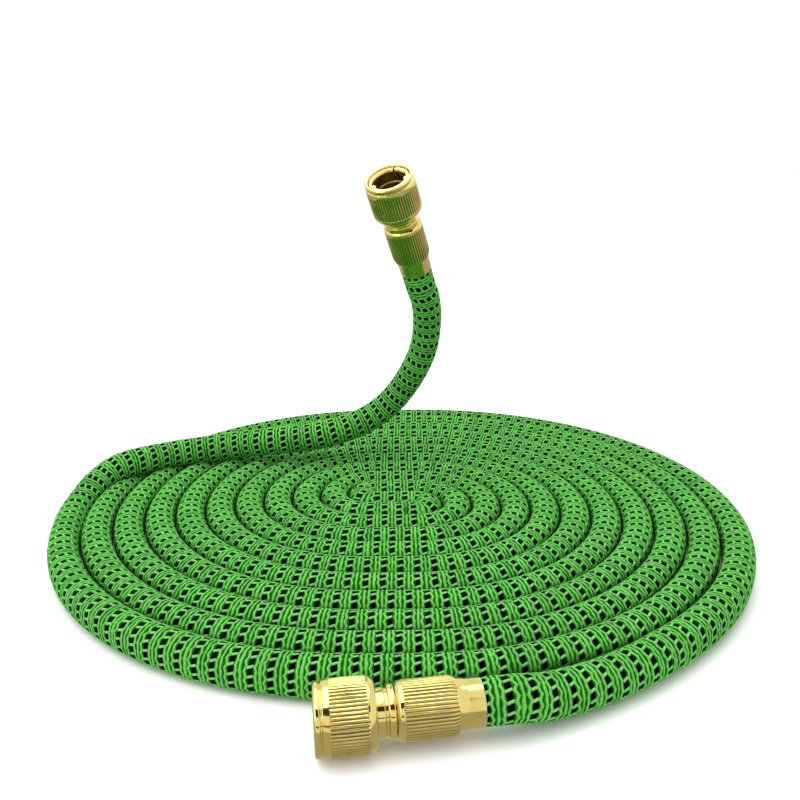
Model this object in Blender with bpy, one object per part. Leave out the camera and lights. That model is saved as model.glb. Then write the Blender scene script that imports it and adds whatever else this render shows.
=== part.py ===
"""A woven garden hose, coiled flat and folded at its middle, with a brass quick connector on each end.

Metres, +Z up. The coil lies on the floor at Z 0 with its centre on the origin. The hose is wound double
from the fold at its middle, so both ends are outside: one lies in front of the coil, the other climbs over
the turns at the back and stands up from them.
"""
import math

import bmesh
import bpy
from mathutils import Matrix, Vector
from mathutils.kdtree import KDTree

# Room left between two pieces that touch
GAP = 0.0003

# Hose
HOSE_DIAMETER = 0.020
TURN_SQUEEZE = 0.0012
PRESSED_HALF_HEIGHT = 0.0034
LYING_FLAT_WIDTH = 0.008
SHOULDER_ANGLE = math.radians(40)

# Coil: arcs about two centres, one at each end of the short core
OUTERMOST_TURN = 10
CORE_HALF_LENGTH = 0.0128
ARC_STEPS = 16
TAIL_ANGLE = math.radians(-58)
RISER_ANGLE = math.radians(191)

# Release collar
COLLAR_DIAMETER = 0.0304
COLLAR_LENGTH = 0.0265
COLLAR_EDGE = 0.0010
COLLAR_REAR_WALL = 0.0030
COLLAR_TRAVEL = 0.0034
COLLAR_STOP_ROOM = 0.0005

# Connector body
SOCKET_DIAMETER = 0.0248
SOCKET_BORE = 0.0196
SOCKET_DEPTH = 0.0170
SOCKET_SETBACK = 0.0012
NECK_DIAMETER = 0.0201
FLANGE_DIAMETER = 0.0220
FLANGE_LENGTH = 0.0025
SHANK_DIAMETER = 0.0154
POST_DIAMETER = 0.0090
POST_HEIGHT = 0.0060
SLOT_WIDTH = 0.0011
SLOT_DEPTH = 0.0045
SLOT_AZIMUTH = math.radians(65)

# Lock balls
BALL_DIAMETER = 0.0040
BALL_DEPTH = 0.0046

# Clamp nut
NUT_DIAMETER = 0.0241
NUT_LENGTH = 0.0266
NUT_EDGE = 0.0012
NUT_TAPER_LENGTH = 0.0022
SLEEVE_DIAMETER = 0.0202
SLEEVE_LENGTH = 0.0074

ROUND_SIDES = 36

# Where the hose meets each connector, and the way that connector's mouth looks. The front one lies on the
# floor beside the coil. Places of the hose itself are in hose diameters.
FRONT_END_X = 0.0374
FRONT_CLEARANCE = 0.00095
FRONT_MOUTH_WAY = (-0.990, -0.142, 0.0)
TOP_END = (0.78, 1.42, 8.17)
TOP_MOUTH_WAY = (-0.239, -0.486, 0.841)
HOSE_LEAD = 0.014

# Points along the two free stretches, in hose diameters, chosen by hand
TAIL_POINTS = (
    (4.600, -9.675, 0.51),
    (3.400, -10.275, 0.61),
)
RISER_POINTS = (
    (-10.538, -0.387, 0.539),
    (-10.489, 0.289, 0.681),
    (-10.242, 1.078, 1.006),
    (-9.581, 1.915, 1.331),
    (-8.113, 3.003, 1.344),
    (-6.731, 3.403, 1.418),
    (-5.527, 3.454, 1.562),
    (-4.606, 3.321, 1.691),
    (-3.211, 3.358, 1.817),
    (-2.187, 3.412, 2.021),
    (-1.161, 3.738, 2.310),
    (-0.263, 3.918, 2.886),
    (0.495, 3.818, 3.841),
    (1.038, 3.364, 5.064),
    (1.177, 2.795, 6.204),
    (1.101, 2.149, 7.074),
)
ROUTE_SPACING = 0.008
PRESS_GAP = 0.0010

# Worked out from the sizes above
TURN_PITCH = HOSE_DIAMETER - TURN_SQUEEZE
HOSE_RADIUS = HOSE_DIAMETER / 2
RIGHT_CENTRE = Vector((CORE_HALF_LENGTH, -TURN_PITCH / 2, 0))
LEFT_CENTRE = Vector((-CORE_HALF_LENGTH, TURN_PITCH / 2, 0))
COIL_FRONT = (OUTERMOST_TURN + 0.5) * TURN_PITCH
FRONT_END = Vector((FRONT_END_X, -COIL_FRONT - FRONT_CLEARANCE - COLLAR_DIAMETER / 2, COLLAR_DIAMETER / 2))
BALL_CENTRE_RADIUS = (SOCKET_DIAMETER - BALL_DIAMETER) / 2 - GAP
SOCKET_END = COLLAR_LENGTH - COLLAR_REAR_WALL - GAP
FLANGE_START = COLLAR_LENGTH + COLLAR_TRAVEL + COLLAR_STOP_ROOM
NUT_START = FLANGE_START + FLANGE_LENGTH + GAP
CONNECTOR_LENGTH = NUT_START + NUT_LENGTH + NUT_TAPER_LENGTH + SLEEVE_LENGTH


def clear_scene():
    """Removes every object that the scene starts with."""
    for obj in list(bpy.data.objects):
        bpy.data.objects.remove(obj)


def material(name, color, roughness, metallic):
    """A plain Principled material."""
    made = bpy.data.materials.new(name)
    made.use_nodes = True
    shader = made.node_tree.nodes["Principled BSDF"]
    shader.inputs["Base Color"].default_value = (*color, 1.0)
    shader.inputs["Roughness"].default_value = roughness
    shader.inputs["Metallic"].default_value = metallic
    made.diffuse_color = (*color, 1.0)
    return made


def add_object(name, data, finish, parent=None):
    """Links an object with its own copy of a finish."""
    obj = bpy.data.objects.new(name, data)
    bpy.context.scene.collection.objects.link(obj)
    own = finish.copy()
    own.name = name
    data.materials.append(own)
    obj.parent = parent
    return obj


def mesh_from(bm, name, smooth_under=None):
    """Closes a bmesh into mesh data, smooth where its faces meet under an angle."""
    bmesh.ops.recalc_face_normals(bm, faces=bm.faces)
    data = bpy.data.meshes.new(name)
    bm.to_mesh(data)
    bm.free()
    if smooth_under is not None:
        data.polygons.foreach_set("use_smooth", [True] * len(data.polygons))
        data.set_sharp_from_angle(angle=smooth_under)
    return data


# Coil


def strand_section():
    """The section of one lying turn as (offset outwards, height), flat where it rests and where turns press."""
    half = TURN_PITCH / 2
    low = HOSE_RADIUS - PRESSED_HALF_HEIGHT
    high = HOSE_RADIUS + PRESSED_HALF_HEIGHT
    shoulder = HOSE_RADIUS * math.sin(SHOULDER_ANGLE)
    shoulder_height = HOSE_RADIUS * (1 + math.cos(SHOULDER_ANGLE))
    return (
        (-half, low),
        (-LYING_FLAT_WIDTH / 2, 0.0),
        (LYING_FLAT_WIDTH / 2, 0.0),
        (half, low),
        (half, high),
        (shoulder, shoulder_height),
        (0.0, HOSE_DIAMETER),
        (-shoulder, shoulder_height),
        (-half, high),
    )


def turn_radius(turn):
    """The centreline radius of a turn, counted from 0 at the core."""
    return (turn + 0.5) * TURN_PITCH


def add_arc(bm, centre, turn, start, end, steps):
    """Adds one turn's arc about a centre, as a closed strand."""
    outward = Vector((math.cos(start), math.sin(start), 0))
    corners = [
        bm.verts.new(centre + outward * (turn_radius(turn) + offset) + Vector((0, 0, height)))
        for offset, height in strand_section()
    ]
    face = bm.faces.new(corners)
    bmesh.ops.spin(
        bm,
        geom=[face, *face.edges, *face.verts],
        cent=centre,
        axis=(0, 0, 1),
        angle=end - start,
        steps=steps,
    )


def add_straight(bm, row):
    """Adds the straight stretch across the core that lies a number of rows behind its middle."""
    start = Vector((CORE_HALF_LENGTH, row * TURN_PITCH, 0))
    corners = [bm.verts.new(start + Vector((0, offset, height))) for offset, height in strand_section()]
    face = bm.faces.new(corners)
    grown = bmesh.ops.extrude_face_region(bm, geom=[face], use_keep_orig=True)
    moved = [item for item in grown["geom"] if isinstance(item, bmesh.types.BMVert)]
    bmesh.ops.translate(bm, verts=moved, vec=(-2 * CORE_HALF_LENGTH, 0, 0))


def drop_inner_walls(bm):
    """Removes the walls that two neighbouring strands share, which lie face on face, and welds the rest."""
    faces = list(bm.faces)
    centres = KDTree(len(faces))
    for number, face in enumerate(faces):
        centres.insert(face.calc_center_median(), number)
    centres.balance()
    doubled = [face for face in faces if len(centres.find_range(face.calc_center_median(), 1e-5)) > 1]
    bmesh.ops.delete(bm, geom=doubled, context="FACES")
    bmesh.ops.remove_doubles(bm, verts=bm.verts, dist=1e-6)


def coil_mesh():
    """The whole coil as one solid: half turns about two centres, joined by straights across the core."""
    bm = bmesh.new()
    quarter = math.pi / 2
    for turn in range(OUTERMOST_TURN):
        add_arc(bm, RIGHT_CENTRE, turn, -quarter, quarter, ARC_STEPS)
        add_arc(bm, LEFT_CENTRE, turn, quarter, 3 * quarter, ARC_STEPS)
    step = math.pi / ARC_STEPS
    tail_steps = round((quarter - TAIL_ANGLE) / step)
    add_arc(bm, RIGHT_CENTRE, OUTERMOST_TURN, quarter - tail_steps * step, quarter, tail_steps)
    riser_steps = round((3 * quarter - RISER_ANGLE) / step)
    add_arc(bm, LEFT_CENTRE, OUTERMOST_TURN, 3 * quarter - riser_steps * step, 3 * quarter, riser_steps)
    for row in range(-OUTERMOST_TURN, OUTERMOST_TURN + 1):
        add_straight(bm, row)
    drop_inner_walls(bm)
    return mesh_from(bm, "hose_coil"), quarter - tail_steps * step, 3 * quarter - riser_steps * step


# Free stretches


def smooth_route(points, spacing):
    """Points an even spacing apart on a smooth curve through the ones given, straight in its end stretches."""
    fine = []
    for before, start, end, after in zip(points, points[1:], points[2:], points[3:]):
        for share in (i / 24 for i in range(24)):
            fine.append(
                0.5
                * (
                    2 * start
                    + (end - before) * share
                    + (2 * before - 5 * start + 4 * end - after) * share**2
                    + (3 * start - before - 3 * end + after) * share**3
                )
            )
    fine.append(points[-2])
    lengths = [0.0]
    for start, end in zip(fine, fine[1:]):
        lengths.append(lengths[-1] + (end - start).length)
    count = max(2, round(lengths[-1] / spacing))
    even = [points[0]]
    place = 0
    for number in range(count + 1):
        target = lengths[-1] * number / count
        while place < len(fine) - 2 and lengths[place + 1] < target:
            place += 1
        share = (target - lengths[place]) / max(lengths[place + 1] - lengths[place], 1e-9)
        even.append(fine[place].lerp(fine[place + 1], min(share, 1.0)))
    return [*even, points[-1]]


def pressed_on_coil(place):
    """A point of a free stretch, moved out of the coil's left half where the soft hose lies on its turns."""
    from_core = place.xy - LEFT_CENTRE.xy
    if place.x > LEFT_CENTRE.x:
        from_core.x = 0
    outward = from_core.length - turn_radius(OUTERMOST_TURN - 1)
    clear = HOSE_RADIUS + PRESS_GAP
    if outward <= 0:
        above = place.y > -turn_radius(OUTERMOST_TURN) and place.z > HOSE_RADIUS
        return Vector((place.x, place.y, max(place.z, HOSE_RADIUS + clear))) if above else place
    rise = place.z - HOSE_RADIUS
    reach = math.hypot(outward, rise)
    beside = TURN_PITCH / 2 + PRESS_GAP
    if rise < 0 or outward >= beside or reach >= clear:
        return place
    grown = min(clear / reach, beside / outward)
    moved = from_core * (1 + outward * (grown - 1) / from_core.length)
    return Vector((place.x + moved.x - from_core.x, place.y + moved.y - from_core.y, HOSE_RADIUS + rise * grown))


def hose_tube(name, points, finish):
    """A free stretch of hose as a tube along its route, round but where it is pressed on the coil."""
    data = bpy.data.curves.new(name, "CURVE")
    data.dimensions = "3D"
    data.bevel_depth = HOSE_RADIUS
    data.bevel_resolution = 4
    data.use_fill_caps = True
    route = smooth_route(points, ROUTE_SPACING)
    spline = data.splines.new("POLY")
    spline.points.add(len(route) - 1)
    for point, place in zip(spline.points, route):
        point.co = (*place, 1.0)
        point.radius = 1.0
    spline.use_smooth = True
    curve = bpy.data.objects.new(f"{name}_route", data)
    bpy.context.scene.collection.objects.link(curve)
    tube = bpy.data.meshes.new_from_object(curve.evaluated_get(bpy.context.evaluated_depsgraph_get()))
    bpy.data.objects.remove(curve)
    tube.name = name
    for vertex in tube.vertices:
        vertex.co = pressed_on_coil(vertex.co)
    return add_object(name, tube, finish)


def in_hose_diameters(points):
    """Points given in hose diameters, as vectors in metres."""
    return [Vector(point) * HOSE_DIAMETER for point in points]


def strand_exit(centre, angle, way):
    """The point just off the end of an outermost arc, and one a short way on, clear of the next turn."""
    outward = Vector((math.cos(angle), math.sin(angle), 0))
    tangent = Vector((-outward.y, outward.x, 0)) * way
    reach = turn_radius(OUTERMOST_TURN) + TURN_SQUEEZE / 2 + GAP
    end = centre + outward * reach + Vector((0, 0, HOSE_RADIUS + GAP))
    return [end + tangent * GAP, end + tangent * HOSE_RADIUS]


def connector_entry(end, mouth_way):
    """The last two points of a stretch, which run straight into a connector."""
    face = Vector(end) - Vector(mouth_way).normalized() * GAP
    return [face - Vector(mouth_way).normalized() * HOSE_LEAD, face]


# Connectors


def turned(name, profile, finish, parent):
    """A turned ring: a closed outline of (radius, distance in from the mouth) spun about the axis."""
    bm = bmesh.new()
    corners = [bm.verts.new((radius, 0, -station)) for radius, station in profile]
    edges = [bm.edges.new(pair) for pair in zip(corners, corners[1:] + corners[:1])]
    bmesh.ops.spin(
        bm,
        geom=corners + edges,
        cent=(0, 0, 0),
        axis=(0, 0, 1),
        angle=2 * math.pi,
        steps=ROUND_SIDES,
        use_merge=True,
    )
    bmesh.ops.remove_doubles(bm, verts=bm.verts, dist=1e-6)
    return add_object(name, mesh_from(bm, name, math.radians(35)), finish, parent)


def collar_outline():
    """The release collar: open at the mouth, with a wall at its rear that runs on the neck."""
    outer = COLLAR_DIAMETER / 2
    mouth = SOCKET_DIAMETER / 2 + GAP
    rear = NECK_DIAMETER / 2 + GAP
    wall = COLLAR_LENGTH - COLLAR_REAR_WALL
    return (
        (mouth, 0.0),
        (outer - COLLAR_EDGE, 0.0),
        (outer, COLLAR_EDGE),
        (outer, COLLAR_LENGTH - COLLAR_EDGE),
        (outer - COLLAR_EDGE, COLLAR_LENGTH),
        (rear, COLLAR_LENGTH),
        (rear, wall),
        (mouth, wall),
    )


def body_outline():
    """The body: socket, neck, flange and the shank that the hose is pushed on, with a closed floor and a post."""
    floor = SOCKET_SETBACK + SOCKET_DEPTH
    tip = CONNECTOR_LENGTH - GAP
    return (
        (0.0, floor - POST_HEIGHT),
        (POST_DIAMETER / 2, floor - POST_HEIGHT),
        (POST_DIAMETER / 2, floor),
        (SOCKET_BORE / 2, floor),
        (SOCKET_BORE / 2, SOCKET_SETBACK),
        (SOCKET_DIAMETER / 2, SOCKET_SETBACK),
        (SOCKET_DIAMETER / 2, SOCKET_END),
        (NECK_DIAMETER / 2, SOCKET_END),
        (NECK_DIAMETER / 2, FLANGE_START),
        (FLANGE_DIAMETER / 2, FLANGE_START),
        (FLANGE_DIAMETER / 2, FLANGE_START + FLANGE_LENGTH),
        (SHANK_DIAMETER / 2, FLANGE_START + FLANGE_LENGTH),
        (SHANK_DIAMETER / 2, tip),
        (0.0, tip),
    )


def nut_outline():
    """The clamp nut with the plain sleeve that closes on the hose."""
    bore = SHANK_DIAMETER / 2 + GAP
    outer = NUT_DIAMETER / 2
    shoulder = NUT_START + NUT_LENGTH
    return (
        (bore, NUT_START),
        (outer - NUT_EDGE, NUT_START),
        (outer, NUT_START + NUT_EDGE),
        (outer, shoulder),
        (SLEEVE_DIAMETER / 2, shoulder + NUT_TAPER_LENGTH),
        (SLEEVE_DIAMETER / 2, CONNECTOR_LENGTH),
        (bore, CONNECTOR_LENGTH),
    )


def cut(target, cutter_name, bm):
    """Takes a closed cutter, drawn in the connector's own frame, out of an object."""
    data = mesh_from(bm, cutter_name)
    cutter = bpy.data.objects.new(cutter_name, data)
    bpy.context.scene.collection.objects.link(cutter)
    cutter.parent = target.parent
    cutter.hide_render = True
    cutter.display_type = "WIRE"
    modifier = target.modifiers.new(cutter_name, "BOOLEAN")
    modifier.operation = "DIFFERENCE"
    modifier.solver = "EXACT"
    modifier.object = cutter


def ball_hole_cutter():
    """A cross bore through both walls of the socket for the lock balls."""
    bm = bmesh.new()
    bmesh.ops.create_cone(
        bm,
        cap_ends=True,
        segments=16,
        radius1=BALL_DIAMETER / 2 + GAP,
        radius2=BALL_DIAMETER / 2 + GAP,
        depth=SOCKET_DIAMETER * 1.2,
        matrix=Matrix.Translation((0, 0, -BALL_DEPTH)) @ Matrix.Rotation(math.pi / 2, 4, "Y"),
    )
    return bm


def slot_cutter():
    """A thin slot in the lip of the socket."""
    bm = bmesh.new()
    wall = (SOCKET_DIAMETER - SOCKET_BORE) / 2
    place = Matrix.Rotation(SLOT_AZIMUTH, 4, "Z") @ Matrix.Translation(
        ((SOCKET_DIAMETER + SOCKET_BORE) / 4, 0, -SOCKET_SETBACK)
    )
    size = Matrix.Diagonal((wall * 1.4, SLOT_WIDTH, SLOT_DEPTH * 2, 1))
    bmesh.ops.create_cube(bm, size=1.0, matrix=place @ size)
    return bm


def lock_ball(name, side, finish, parent):
    """One steel ball that stands in its hole in the socket's wall."""
    bm = bmesh.new()
    place = Matrix.Translation((side * BALL_CENTRE_RADIUS, 0, -BALL_DEPTH))
    bmesh.ops.create_icosphere(bm, subdivisions=2, radius=BALL_DIAMETER / 2, matrix=place)
    return add_object(name, mesh_from(bm, name, math.radians(60)), finish, parent)


def connector(side, end, mouth_way, slot_side, brass, steel):
    """A quick connector: its empty lies at the centre of the mouth, with +Z out of it, on the collar's axis."""
    out = Vector(mouth_way).normalized()
    across = Vector(slot_side).cross(out).normalized()
    mouth = bpy.data.objects.new(f"{side}_connector", None)
    bpy.context.scene.collection.objects.link(mouth)
    turn = Matrix((across, out.cross(across), out)).transposed().to_4x4()
    mouth.matrix_world = Matrix.Translation(Vector(end) + out * CONNECTOR_LENGTH) @ turn
    turned(f"{side}_release_collar", collar_outline(), brass, mouth)
    body = turned(f"{side}_connector_body", body_outline(), brass, mouth)
    cut(body, f"{side}_ball_hole_cutter", ball_hole_cutter())
    cut(body, f"{side}_slot_cutter", slot_cutter())
    turned(f"{side}_clamp_nut", nut_outline(), brass, mouth)
    for number, place in ((1, -1), (2, 1)):
        lock_ball(f"{side}_lock_ball_{number}", place, steel, mouth)


def main():
    clear_scene()
    weave = material("weave", (0.10, 0.45, 0.07), 0.75, 0.0)
    brass = material("brass", (0.75, 0.56, 0.25), 0.22, 1.0)
    steel = material("steel", (0.72, 0.72, 0.70), 0.15, 1.0)
    coil, tail_angle, riser_angle = coil_mesh()
    add_object("hose_coil", coil, weave)
    tail = [*strand_exit(RIGHT_CENTRE, tail_angle, -1), *in_hose_diameters(TAIL_POINTS)]
    hose_tube("hose_tail", [*tail, *connector_entry(FRONT_END, FRONT_MOUTH_WAY)], weave)
    riser = [*strand_exit(LEFT_CENTRE, riser_angle, -1), *in_hose_diameters(RISER_POINTS)]
    top_end = in_hose_diameters([TOP_END])[0]
    hose_tube("hose_riser", [*riser, *connector_entry(top_end, TOP_MOUTH_WAY)], weave)
    connector("front", FRONT_END, FRONT_MOUTH_WAY, (0, 0, 1), brass, steel)
    connector("top", top_end, TOP_MOUTH_WAY, (0, 1, 0), brass, steel)


main()
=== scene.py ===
"""The looks of a woven garden hose, coiled flat, with a brass quick connector on each end.

Metres, +Z up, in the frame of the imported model. The hose is one length of woven sleeve: it leaves the front
connector, winds in to the fold at its middle, winds out again beside itself and climbs to the top connector.
"""

from __future__ import annotations

import logging
import math
from collections.abc import Sequence
from dataclasses import dataclass, field
from enum import Enum
from functools import cache

import bmesh
import bpy
import numpy as np
from mathutils import Matrix, Vector

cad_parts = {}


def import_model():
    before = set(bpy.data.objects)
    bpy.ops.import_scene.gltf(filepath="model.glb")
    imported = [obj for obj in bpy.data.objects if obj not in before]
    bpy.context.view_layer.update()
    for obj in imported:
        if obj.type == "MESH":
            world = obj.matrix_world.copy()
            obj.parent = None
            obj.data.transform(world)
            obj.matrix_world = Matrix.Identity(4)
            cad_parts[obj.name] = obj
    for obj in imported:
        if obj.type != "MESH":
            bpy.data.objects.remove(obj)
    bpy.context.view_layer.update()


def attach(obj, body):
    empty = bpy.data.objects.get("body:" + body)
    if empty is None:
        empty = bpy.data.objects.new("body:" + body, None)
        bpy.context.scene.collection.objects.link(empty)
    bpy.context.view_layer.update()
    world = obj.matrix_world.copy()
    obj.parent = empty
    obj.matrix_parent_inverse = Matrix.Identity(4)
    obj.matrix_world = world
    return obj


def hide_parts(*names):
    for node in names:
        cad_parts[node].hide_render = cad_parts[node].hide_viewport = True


Pair = tuple[float, float]
Triple = tuple[float, float, float]

LOG = logging.getLogger("woven_hose")
HOSE_BODY = "hose"
WEAVE_PLACE = "weave_place"
# Mask of painted shade in the creases where turns press together.
CREASE_SHADE_MASK = "painted_crease_shade"
TURNED_PLACE = "turned_place"
TARNISH_AND_BORE_SHADE = "groove"
FULL_TURN = 2 * math.pi
QUARTER_TURN = math.pi / 2
MERGE_DISTANCE = 1e-7
MIX_FIRST = 6
MIX_SECOND = 7
MIX_RESULT = 2


class Side(Enum):
    """Which of the hose's two connectors a piece belongs to."""

    FRONT = "front"
    TOP = "top"


class Slot(Enum):
    """The record's material slots."""

    WEAVE = "weave"
    BRASS = "brass"
    STEEL = "steel"


# Shader nodes


class NodeSheet:
    """A node tree that is written as short calls."""

    def __init__(self, tree: bpy.types.NodeTree) -> None:
        """Keeps the tree that nodes are added to."""
        self.tree = tree

    def feed(self, node: bpy.types.Node, feeds: dict[str | int, object]) -> None:
        """Feeds inputs of a node.

        Args:
            node: The node.
            feeds: An output socket or a plain value for each input, by the input's name or number.
        """
        for key, source in feeds.items():
            if isinstance(source, bpy.types.NodeSocket):
                self.tree.links.new(source, node.inputs[key])
            else:
                node.inputs[key].default_value = source

    def node(self, kind: str, feeds: dict[str | int, object], **settings: object) -> bpy.types.Node:
        """Adds a node.

        Args:
            kind: The node's type, without its ShaderNode prefix.
            feeds: What feeds its inputs, as in feed.
            settings: Its properties by name, which are set first.

        Returns:
            The new node.
        """
        made = self.tree.nodes.new("ShaderNode" + kind)
        for name, value in settings.items():
            setattr(made, name, value)
        self.feed(made, feeds)
        return made

    def math(self, operation: str, *sources: object) -> bpy.types.NodeSocket:
        """The result of a Math node that is fed with sockets or numbers in order."""
        return self.node("Math", dict(enumerate(sources)), operation=operation).outputs[0]

    def remap(self, value: object, ends: Pair, becomes: Pair) -> bpy.types.NodeSocket:
        """A value mapped from one range to another, and held within its ends."""
        return self.node("MapRange", dict(enumerate((value, *ends, *becomes))), clamp=True).outputs[0]

    def mix(self, share: object, first: object, second: object) -> bpy.types.NodeSocket:
        """A mix of two colours, with the share of the second one that shows."""
        feeds = {"Factor": share, MIX_FIRST: first, MIX_SECOND: second}
        return self.node("Mix", feeds, data_type="RGBA").outputs[MIX_RESULT]

    def noise(self, place: object, scale: object, detail: float) -> bpy.types.NodeSocket:
        """The value of a noise texture at a place."""
        feeds = {"Vector": place, "Scale": scale, "Detail": detail}
        return self.node("TexNoise", feeds, noise_dimensions="3D").outputs[0]

    def attribute(self, name: str, output: str) -> bpy.types.NodeSocket:
        """One of the piece's own attributes, as a Vector or as a Fac."""
        return self.node("Attribute", {}, attribute_type="GEOMETRY", attribute_name=name).outputs[output]

    def split(self, vector: object) -> tuple[bpy.types.NodeSocket, ...]:
        """The X, Y and Z of a vector."""
        return tuple(self.node("SeparateXYZ", {0: vector}).outputs)

    def join(self, *values: object) -> bpy.types.NodeSocket:
        """A vector from its X, Y and Z."""
        return self.node("CombineXYZ", dict(enumerate(values))).outputs[0]

    def bump(self, height: object, strength: float, depth: float) -> bpy.types.NodeSocket:
        """The normal of a relief that is as deep as given, in metres."""
        return self.node("Bump", {"Strength": strength, "Distance": depth, "Height": height}).outputs[0]


def effect_group(
    name: str, takes: dict[str, float | Triple], gives: Sequence[str]
) -> tuple[NodeSheet, bpy.types.Node, bpy.types.Node]:
    """Starts a shader node group with named sockets.

    Args:
        name: The group's name.
        takes: Each input's default by its name: a number, or three for a vector.
        gives: The name of each output, which is a number.

    Returns:
        The group's sheet, its input node and its output node.
    """
    tree = bpy.data.node_groups.new(name, "ShaderNodeTree")
    for label, default in takes.items():
        kind = "NodeSocketFloat" if isinstance(default, float) else "NodeSocketVector"
        socket = tree.interface.new_socket(name=label, in_out="INPUT", socket_type=kind)
        socket.default_value = default
    for label in gives:
        tree.interface.new_socket(name=label, in_out="OUTPUT", socket_type="NodeSocketFloat")
    return NodeSheet(tree), tree.nodes.new("NodeGroupInput"), tree.nodes.new("NodeGroupOutput")


@cache
def fibre_group() -> bpy.types.NodeTree:
    """The twist of fine fibres in a yarn that runs round the hose.

    Returns:
        A group that takes a place on the straight hose and gives a fibre height and a slow shade.
    """
    hose_radius = 0.01
    round_stretch = 0.22
    along_stretch = 0.1
    shade_scale = 70.0
    takes = {"Place": (0.0, 0.0, 0.0), "Fibres": 900.0, "Slant": 0.5}
    sheet, entry, leave = effect_group("yarn_fibres", takes, ("Height", "Shade"))
    place = entry.outputs["Place"]
    x, y, z = sheet.split(place)
    run = sheet.math("MULTIPLY", sheet.math("ARCTAN2", y, x), hose_radius)
    slanted = sheet.math("MULTIPLY_ADD", run, entry.outputs["Slant"], z)
    across = sheet.math("MULTIPLY", run, round_stretch)
    stretched = sheet.join(across, slanted, sheet.math("MULTIPLY", z, along_stretch))
    height = sheet.noise(stretched, entry.outputs["Fibres"], 3.0)
    sheet.feed(leave, {"Height": height, "Shade": sheet.noise(place, shade_scale, 2.0)})
    return sheet.tree


@cache
def wear_and_shade_group() -> bpy.types.NodeTree:
    """Turning marks, a light tarnish and painted shade on a turned metal part.

    Returns:
        A group that takes a place in the part's own frame and gives a mark height and a mask of tarnish and
        painted shade.
    """
    round_stretch = 0.02
    cloud_scale = 160.0
    groove_tarnish_and_bore_shade = 0.9
    takes = {"Place": (0.0, 0.0, 0.0), "GrooveTarnishAndBoreShade": 0.0, "Marks": 9000.0}
    sheet, entry, leave = effect_group("turned_metal_wear_and_shade", takes, ("Height", "TarnishAndShade"))
    place = entry.outputs["Place"]
    x, y, z = sheet.split(place)
    flat = sheet.join(sheet.math("MULTIPLY", x, round_stretch), sheet.math("MULTIPLY", y, round_stretch), z)
    patches = sheet.remap(sheet.noise(place, cloud_scale, 4.0), (0.52, 0.80), (0.0, 0.25))
    # The groove mask holds tarnish in knurl grooves and painted shade in the socket bore.
    tarnish = sheet.math("MULTIPLY_ADD", entry.outputs["GrooveTarnishAndBoreShade"], groove_tarnish_and_bore_shade, patches)
    marks = sheet.noise(flat, entry.outputs["Marks"], 2.0)
    sheet.feed(leave, {"Height": marks, "TarnishAndShade": sheet.math("MINIMUM", tarnish, 1.0)})
    return sheet.tree


# Finishes


@dataclass(frozen=True)
class Finish:
    """A plain matt surface, and the start of every other finish."""

    name: str
    color: Triple
    roughness: float = 0.9

    def feeds(self, sheet: NodeSheet) -> dict[str, object]:
        """What feeds each socket of the shader, by its name."""
        return {"Base Color": (*self.color, 1.0), "Roughness": self.roughness}

    def material(self) -> bpy.types.Material:
        """Makes the material.

        Returns:
            The material.
        """
        made = bpy.data.materials.new(self.name)
        made.use_nodes = True
        sheet = NodeSheet(made.node_tree)
        sheet.feed(made.node_tree.nodes["Principled BSDF"], self.feeds(sheet))
        return made


@dataclass(frozen=True, kw_only=True)
class FibreFinish(Finish):
    """A surface of twisted fibres, which is what the yarns and the ground have in common."""

    fibres: float
    slant: float
    bump_strength: float
    bump_depth: float
    specular: float

    def fibre_feeds(self, sheet: NodeSheet) -> tuple[bpy.types.Node, dict[str, object]]:
        """Adds the fibres, with the relief that they give.

        Args:
            sheet: The material's sheet.

        Returns:
            The fibres' node, and what feeds the shader's normal and specular level.
        """
        place = sheet.attribute(WEAVE_PLACE, "Vector")
        feeds = {"Place": place, "Fibres": self.fibres, "Slant": self.slant}
        fibres = sheet.node("Group", feeds, node_tree=fibre_group())
        normal = sheet.bump(fibres.outputs["Height"], self.bump_strength, self.bump_depth)
        return fibres, {"Specular IOR Level": self.specular, "Normal": normal}


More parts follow.
